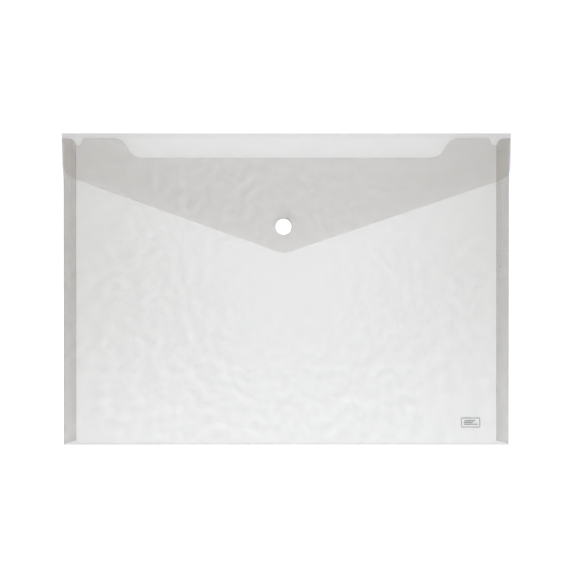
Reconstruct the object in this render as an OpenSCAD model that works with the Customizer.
// A4 document wallet of thin translucent sheet: a pocket with pleated side
// gussets, a V-shaped flap folded over from the back, and one press stud.
// It lies on its back panel. +X is to the right, +Y towards the flap's fold,
// +Z out of the front. The origin is on the table, under the middle.

/* [Case] */
// Width of the pocket across its folded sides
case_w = 333; // [325:1:345]
// Height of the closed case from the bottom fold to the top fold
case_h = 233.5; // [226:0.5:242]
// Thickness of the sheet
sheet_t = 0.3; // [0.25:0.01:0.32]
// Clear depth of the pocket at its mouth when the case rests
mouth_gap = 6; // [5:0.5:7]
// Inside radius of the bottom fold
bottom_r = 0.7; // [0.6:0.05:0.8]

/* [Front panel] */
// Distance from the top of the case down to the two raised tabs
tab_drop = 3.9; // [3.9:0.1:5]
// Distance from the top of the case down to the finger recess
recess_drop = 18.7; // [14:0.1:24]
// Width of the finger recess along its bottom
recess_w = 227; // [180:1:230]
// Width of the finger recess at the level of the tabs
recess_top_w = 247; // [244:1:270]
// Radius at the two ends of each recess curve
recess_r = 10.5; // [6:0.5:11]
// Depth of the notches where the side creases start, and radius of the plies' rounded corners
notch_d = 5.5; // [4.5:0.1:6]
// Width of each notch's foot, from the side crease inwards
notch_foot_w = 3.6; // [3:0.1:4.5]

/* [Side gussets] */
// Width of the pleated band down each side
band_w = 9.1; // [8:0.1:11]
// Width of the flange welded to the back panel
flange_w = 3.2; // [2.5:0.1:4]
// Height of the slanted lower end of each ply
mitre_h = 2.3; // [1:0.1:4]
// Inside radius of the outer fold between the two plies
pleat_r = 0.1; // [0.08:0.01:0.12]

/* [Flap] */
// Width of the flap
flap_w = 336; // [334:1:347]
// Distance from the top of the case down to the tip of the flap, before rounding
flap_drop = 90.4; // [84:0.1:96]
// Distance of the flap's tip and of the press stud from the middle, to the right
tip_x = -2; // [-3:0.5:3]
// Distance from the top of the case down to the flap's left corner, before rounding
left_shoulder = 31.1; // [28:0.1:36]
// Distance from the top of the case down to the flap's right corner, before rounding
right_shoulder = 32.8; // [28:0.1:36]
// Corner radius where the sides of the flap meet its slopes
flap_corner_r = 13; // [5:0.5:14]
// Radius of the flap's tip
flap_tip_r = 12; // [8:0.5:20]
// Angle by which the press stud holds the flap up off a level line
flap_lift = 0.6; // [0.5:0.05:0.8]

/* [Press stud] */
// Distance from the top of the case down to the press stud
snap_drop = 70; // [66:0.5:72]
// Diameter of the visible cap
cap_d = 12; // [11:0.1:13]
// Height of the visible cap
cap_h = 1.2; // [1:0.05:1.4]
// Diameter of the socket and of the stud's base
socket_d = 10.6; // [10:0.1:11]
// Height of the socket under the flap
socket_h = 1.8; // [1.6:0.05:1.8]
// Diameter of the stud's post
post_d = 5.2; // [5:0.1:5.4]
// Diameter of the rivet pins that hold the four press stud pieces
pin_d = 2.8; // [2.6:0.1:2.9]

/* [Hidden] */

sheet_colour = [0.86, 0.88, 0.88];
snap_colour = [0.97, 0.97, 0.96];
round_n = 96;        // segments of the round pieces
arc_steps = 8;       // segments of each rounded corner
stations = 12;       // steps along a twisted ply
past = 1;            // how far a cutter reaches past what it cuts

// Bottom fold: its axis is the hinge line of the pocket.
bottom_outer = bottom_r + sheet_t;
bottom_y = -case_h / 2 + bottom_outer;
bottom_z = bottom_outer;

// Front panel: it rises from the bottom fold to the mouth.
flap_gap = 0.6;      // between the front panel's top edge and the flap
top_y = case_h / 2;
front_len = top_y - tab_drop - bottom_y;
front_tilt = asin((mouth_gap + sheet_t - bottom_z - bottom_r) / front_len);
mouth_z = 2 * sheet_t + mouth_gap;

// Top fold: its axis is the hinge line of the flap.
fold_outer = (mouth_z + flap_gap + sheet_t) / 2;
fold_y = top_y - fold_outer;
fold_z = fold_outer;

// Side bands.
crease_x = case_w / 2 - band_w;
pleat_outer = pleat_r + sheet_t;
ply_end_x = case_w / 2 - pleat_outer;
weld_x = crease_x + flange_w;
mitre_in = 2.5;      // top of the slanted end, from the bottom fold's axis
mitre_out = mitre_in - mitre_h;
pleat_len = front_len - mitre_out;
recess_len = top_y - recess_drop - bottom_y;
notch_rise = 0.7;    // of a notch's foot, from the crease to its inner end
notch_run = 2.2;     // slant of a notch's inner side
notch_r = 1.6;       // radius between a notch's foot and its inner side
tab_r = 1.2;         // radius between a notch's inner side and the tab

// Press stud: distances in the frames of the flap and of the front panel.
snap_reach = fold_y - (top_y - snap_drop);
snap_up = top_y - snap_drop - bottom_y;
clear_r = 0.1;       // radial room round the rivet pins
web_t = 0.4;         // of the socket and of the stud's base
bore_d = post_d + 0.8;
head_d = 4;          // of the pressed-over rivet ends
head_h = 0.25;
post_h = 1.1;

function unit(v) = v / norm(v);

// The arc that rounds corner b of the path a, b, c.
function corner_arc(a, b, c, r) =
    let (u = unit(a - b), v = unit(c - b), half = acos(u * v) / 2,
         centre = b + unit(u + v) * r / sin(half),
         p = b + u * r / tan(half) - centre, q = b + v * r / tan(half) - centre,
         start = atan2(p.y, p.x), turn = (atan2(q.y, q.x) - start + 540) % 360 - 180)
    [for (i = [0:arc_steps])
        centre + r * [cos(start + turn * i / arc_steps), sin(start + turn * i / arc_steps)]];

// A closed outline whose corners [x, y, r] are rounded where r isn't 0.
function rounded(corners) =
    [for (i = [0:len(corners) - 1])
        let (n = len(corners), at = corners[i],
             before = corners[(i + n - 1) % n], after = corners[(i + 1) % n])
        each at[2] == 0 ? [[at.x, at.y]]
            : corner_arc([before.x, before.y], [at.x, at.y], [after.x, after.y], at[2])];

// Moves its children from the front panel's frame, whose origin is on the
// bottom fold's axis, to their place.
module on_front() {
    translate([0, bottom_y, bottom_z]) rotate([front_tilt, 0, 0]) children();
}

// Moves its children from the flap's frame, whose origin is on the top fold's
// axis and whose flap reaches along -Y, to their place.
module on_flap() {
    translate([0, fold_y, fold_z]) rotate([-flap_lift, 0, 0]) children();
}

// A flat sheet between z and z + sheet_t.
module sheet(outline, z) {
    translate([0, 0, z]) linear_extrude(sheet_t) polygon(outline);
}

// A round of sheet along X with its axis on the origin, from the angle
// from_a to to_a, less than half a turn, measured from +Y towards +Z.
module rolled_sheet(outer, width, from_a, to_a) {
    reach = 2 * outer;
    translate([-width / 2, 0, 0]) rotate([90, 0, 90]) linear_extrude(width)
    intersection() {
        difference() {
            circle(outer, $fn = round_n);
            circle(outer - sheet_t, $fn = round_n);
        }
        rotate(from_a) translate([-reach, 0]) square([2 * reach, reach]);
        rotate(to_a) translate([-reach, -reach]) square([2 * reach, reach]);
    }
}

// A thin ply between two edges that don't lie in one plane. Each edge is a
// list of points on the ply's lower face.
module ruled_ply(inner, outer) {
    n = len(inner);
    up = [0, 0, sheet_t];
    lower = [for (i = [0:n - 1]) each [inner[i], outer[i]]];
    points = concat(lower, [for (p = lower) p + up]);
    top = 2 * n;
    faces = concat(
        [for (i = [0:n - 2]) let (a = 2 * i) each [
            [a, a + 1, a + 3], [a, a + 3, a + 2],
            [top + a, top + a + 3, top + a + 1], [top + a, top + a + 2, top + a + 3],
            [a, a + 2, top + a + 2], [a, top + a + 2, top + a],
            [a + 1, top + a + 3, a + 3], [a + 1, top + a + 1, top + a + 3]]],
        [[0, top, top + 1], [0, top + 1, 1],
         [top - 2, top - 1, 2 * top - 1], [top - 2, 2 * top - 1, 2 * top - 2]]);
    polyhedron(points, faces, convexity = 4);
}

// Height of the front panel's lower face at y.
function front_under(y) =
    bottom_z + bottom_r / cos(front_tilt) + (y - bottom_y) * tan(front_tilt);

// Height of the middle of the pleat at y, half way between back and front.
function pleat_z(y) = (sheet_t + front_under(y)) / 2;

// Distance of the slanted lower end from the bottom fold's axis at x.
function mitre(x) = mitre_in - mitre_h * (x - crease_x) / (ply_end_x - crease_x);

// The rounded upper corner of the plies and of the weld flange, from inner_x outwards.
function ply_corner(inner_x) =
    let (first = acos((inner_x - crease_x - notch_d) / notch_d))
    [for (i = [0:arc_steps]) let (a = first + (90 - first) * i / arc_steps)
        [crease_x + notch_d * (1 + cos(a)), front_len - notch_d * (1 - sin(a))]];

// Pairs of points on the inner and the outer edge of a ply, from its slanted
// lower end to its rounded upper corner.
function ply_plan(inner_x) =
    let (corner = ply_corner(inner_x), low = mitre(inner_x), reach = corner[0].y)
    concat(
        [for (i = [0:stations - 1]) let (k = i / stations)
            [[inner_x, bottom_y + low + k * (reach - low)],
             [ply_end_x, bottom_y + mitre_out + k * (reach - mitre_out)]]],
        [for (p = corner) [[p.x, bottom_y + p.y], [ply_end_x, bottom_y + p.y]]]);

// A point on the lower face of the ply that slopes from the front panel down to the pleat.
function on_front_ply(p) =
    let (share = (p.x - crease_x) / (ply_end_x - crease_x))
    [p.x, p.y, front_under(p.y) * (1 - share) + (pleat_z(p.y) + pleat_r) * share];

// A point on the lower face of the ply that slopes from the pleat back down to the weld.
function on_rear_ply(p) =
    let (share = (p.x - weld_x) / (ply_end_x - weld_x))
    [p.x, p.y, sheet_t * (1 - share) + (pleat_z(p.y) - pleat_outer) * share];

function front_outline() =
    let (notch_in = crease_x - notch_foot_w, half = [
        [case_w / 2, 0, 0],
        [case_w / 2, mitre_out - 0.1, 0],
        [crease_x, mitre_in - 0.1, 0],
        [crease_x, front_len - notch_d, 0],
        [notch_in, front_len - notch_d + notch_rise, notch_r],
        [notch_in - notch_run, front_len, tab_r],
        [recess_top_w / 2, front_len, recess_r],
        [recess_w / 2, recess_len, recess_r]])
    rounded(concat(half,
        [for (i = [len(half) - 1:-1:0]) [-half[i].x, half[i].y, half[i][2]]]));

module back_panel() {
    color(sheet_colour)
    translate([-case_w / 2, bottom_y, 0]) cube([case_w, fold_y - bottom_y, sheet_t]);
}

module bottom_fold() {
    color(sheet_colour)
    translate([0, bottom_y, bottom_z])
    rolled_sheet(bottom_outer, case_w, 90 + front_tilt, 270);
}

module front_panel() {
    color(sheet_colour) on_front() difference() {
        sheet(front_outline(), bottom_r);
        translate([tip_x, snap_up, 0]) cylinder(d = pin_d + 2 * clear_r, h = 3, $fn = round_n);
    }
}

module front_ply() {
    plan = ply_plan(crease_x);
    color(sheet_colour)
    ruled_ply([for (pair = plan) on_front_ply(pair[0])], [for (pair = plan) on_front_ply(pair[1])]);
}

module rear_ply() {
    plan = ply_plan(weld_x);
    color(sheet_colour)
    ruled_ply([for (pair = plan) on_rear_ply(pair[0])], [for (pair = plan) on_rear_ply(pair[1])]);
}

// The rolled outer edge that joins the two plies of one side.
module gusset_fold() {
    rise = pleat_z(bottom_y + front_len) - pleat_z(bottom_y + mitre_out);
    color(sheet_colour)
    translate([ply_end_x, bottom_y + mitre_out, pleat_z(bottom_y + mitre_out)])
    rotate([atan(rise / pleat_len), 0, 0]) rotate([90, 0, 0]) mirror([0, 0, 1])
    linear_extrude(pleat_len) intersection() {
        difference() {
            circle(pleat_outer, $fn = round_n);
            circle(pleat_r, $fn = round_n);
        }
        translate([0, -past]) square([past, 2 * past]);
    }
}

// The strip at the end of the rear ply, fused to the back panel.
module weld_flange() {
    corner = concat([for (p = ply_corner(crease_x)) if (p.x < weld_x) p], [ply_corner(weld_x)[0]]);
    color(sheet_colour) translate([0, bottom_y, 0])
    sheet(concat([[weld_x, mitre(weld_x)], [crease_x, mitre(crease_x)]], corner), sheet_t);
}

module top_fold() {
    color(sheet_colour)
    translate([0, fold_y, fold_z])
    rolled_sheet(fold_outer, flap_w, -90, 90 - flap_lift);
}

module flap() {
    inset = top_y - fold_y;
    outline = rounded([
        [flap_w / 2, 0, 0], [-flap_w / 2, 0, 0],
        [-flap_w / 2, inset - left_shoulder, flap_corner_r],
        [tip_x, inset - flap_drop, flap_tip_r],
        [flap_w / 2, inset - right_shoulder, flap_corner_r]]);
    color(sheet_colour) on_flap() difference() {
        sheet(outline, fold_outer - sheet_t);
        translate([tip_x, -snap_reach, 0])
            cylinder(d = pin_d + 2 * clear_r, h = fold_outer + past, $fn = round_n);
    }
}

// Half the profile of a low domed disc, its flat face on the level 0.
module dome_profile(d, h) {
    rim = 0.4 * h;
    rise = h - rim;
    ball = (d * d / 4 + rise * rise) / (2 * rise);
    intersection() {
        union() {
            square([d / 2, rim]);
            translate([0, h - ball]) circle(ball, $fn = 4 * round_n);
        }
        square([d / 2, h]);
    }
}

// A rivet: a domed cap, its pin and the pressed-over end of the pin.
module rivet(pin_h) {
    rotate_extrude($fn = round_n) dome_profile(cap_d, cap_h);
    translate([0, 0, -pin_h]) cylinder(d = pin_d, h = pin_h, $fn = round_n);
    translate([0, 0, -pin_h]) cylinder(d = head_d, h = head_h, $fn = round_n);
}

module snap_cap() {
    color(snap_colour) on_flap() translate([tip_x, -snap_reach, fold_outer])
    rivet(sheet_t + web_t + head_h);
}

module snap_socket() {
    color(snap_colour) on_flap()
    translate([tip_x, -snap_reach, fold_outer - sheet_t - socket_h]) difference() {
        cylinder(d = socket_d, h = socket_h, $fn = round_n);
        translate([0, 0, -past])
            cylinder(d = bore_d, h = past + socket_h - web_t, $fn = round_n);
        cylinder(d = pin_d + 2 * clear_r, h = socket_h + past, $fn = round_n);
    }
}

module snap_stud() {
    color(snap_colour) on_front() translate([tip_x, snap_up, bottom_outer]) difference() {
        union() {
            cylinder(d = socket_d, h = web_t, $fn = round_n);
            cylinder(d = post_d, h = web_t + post_h, $fn = round_n);
        }
        translate([0, 0, -past])
            cylinder(d = pin_d + 2 * clear_r, h = 2 * past + web_t + post_h, $fn = round_n);
        translate([0, 0, web_t + post_h / 2])
            cylinder(d = head_d + 2 * clear_r, h = post_h, $fn = round_n);
    }
}

module snap_rivet() {
    color(snap_colour) on_front() translate([tip_x, snap_up, bottom_r]) rotate([180, 0, 0])
    rivet(sheet_t + web_t + post_h / 2 + head_h);
}

back_panel();
bottom_fold();
front_panel();
mirror([1, 0, 0]) front_ply();  // left_front_ply
front_ply();  // right_front_ply
mirror([1, 0, 0]) rear_ply();  // left_rear_ply
rear_ply();  // right_rear_ply
mirror([1, 0, 0]) gusset_fold();  // left_gusset_fold
gusset_fold();  // right_gusset_fold
mirror([1, 0, 0]) weld_flange();  // left_weld_flange
weld_flange();  // right_weld_flange
top_fold();
flap();
snap_cap();
snap_socket();
snap_stud();
snap_rivet();
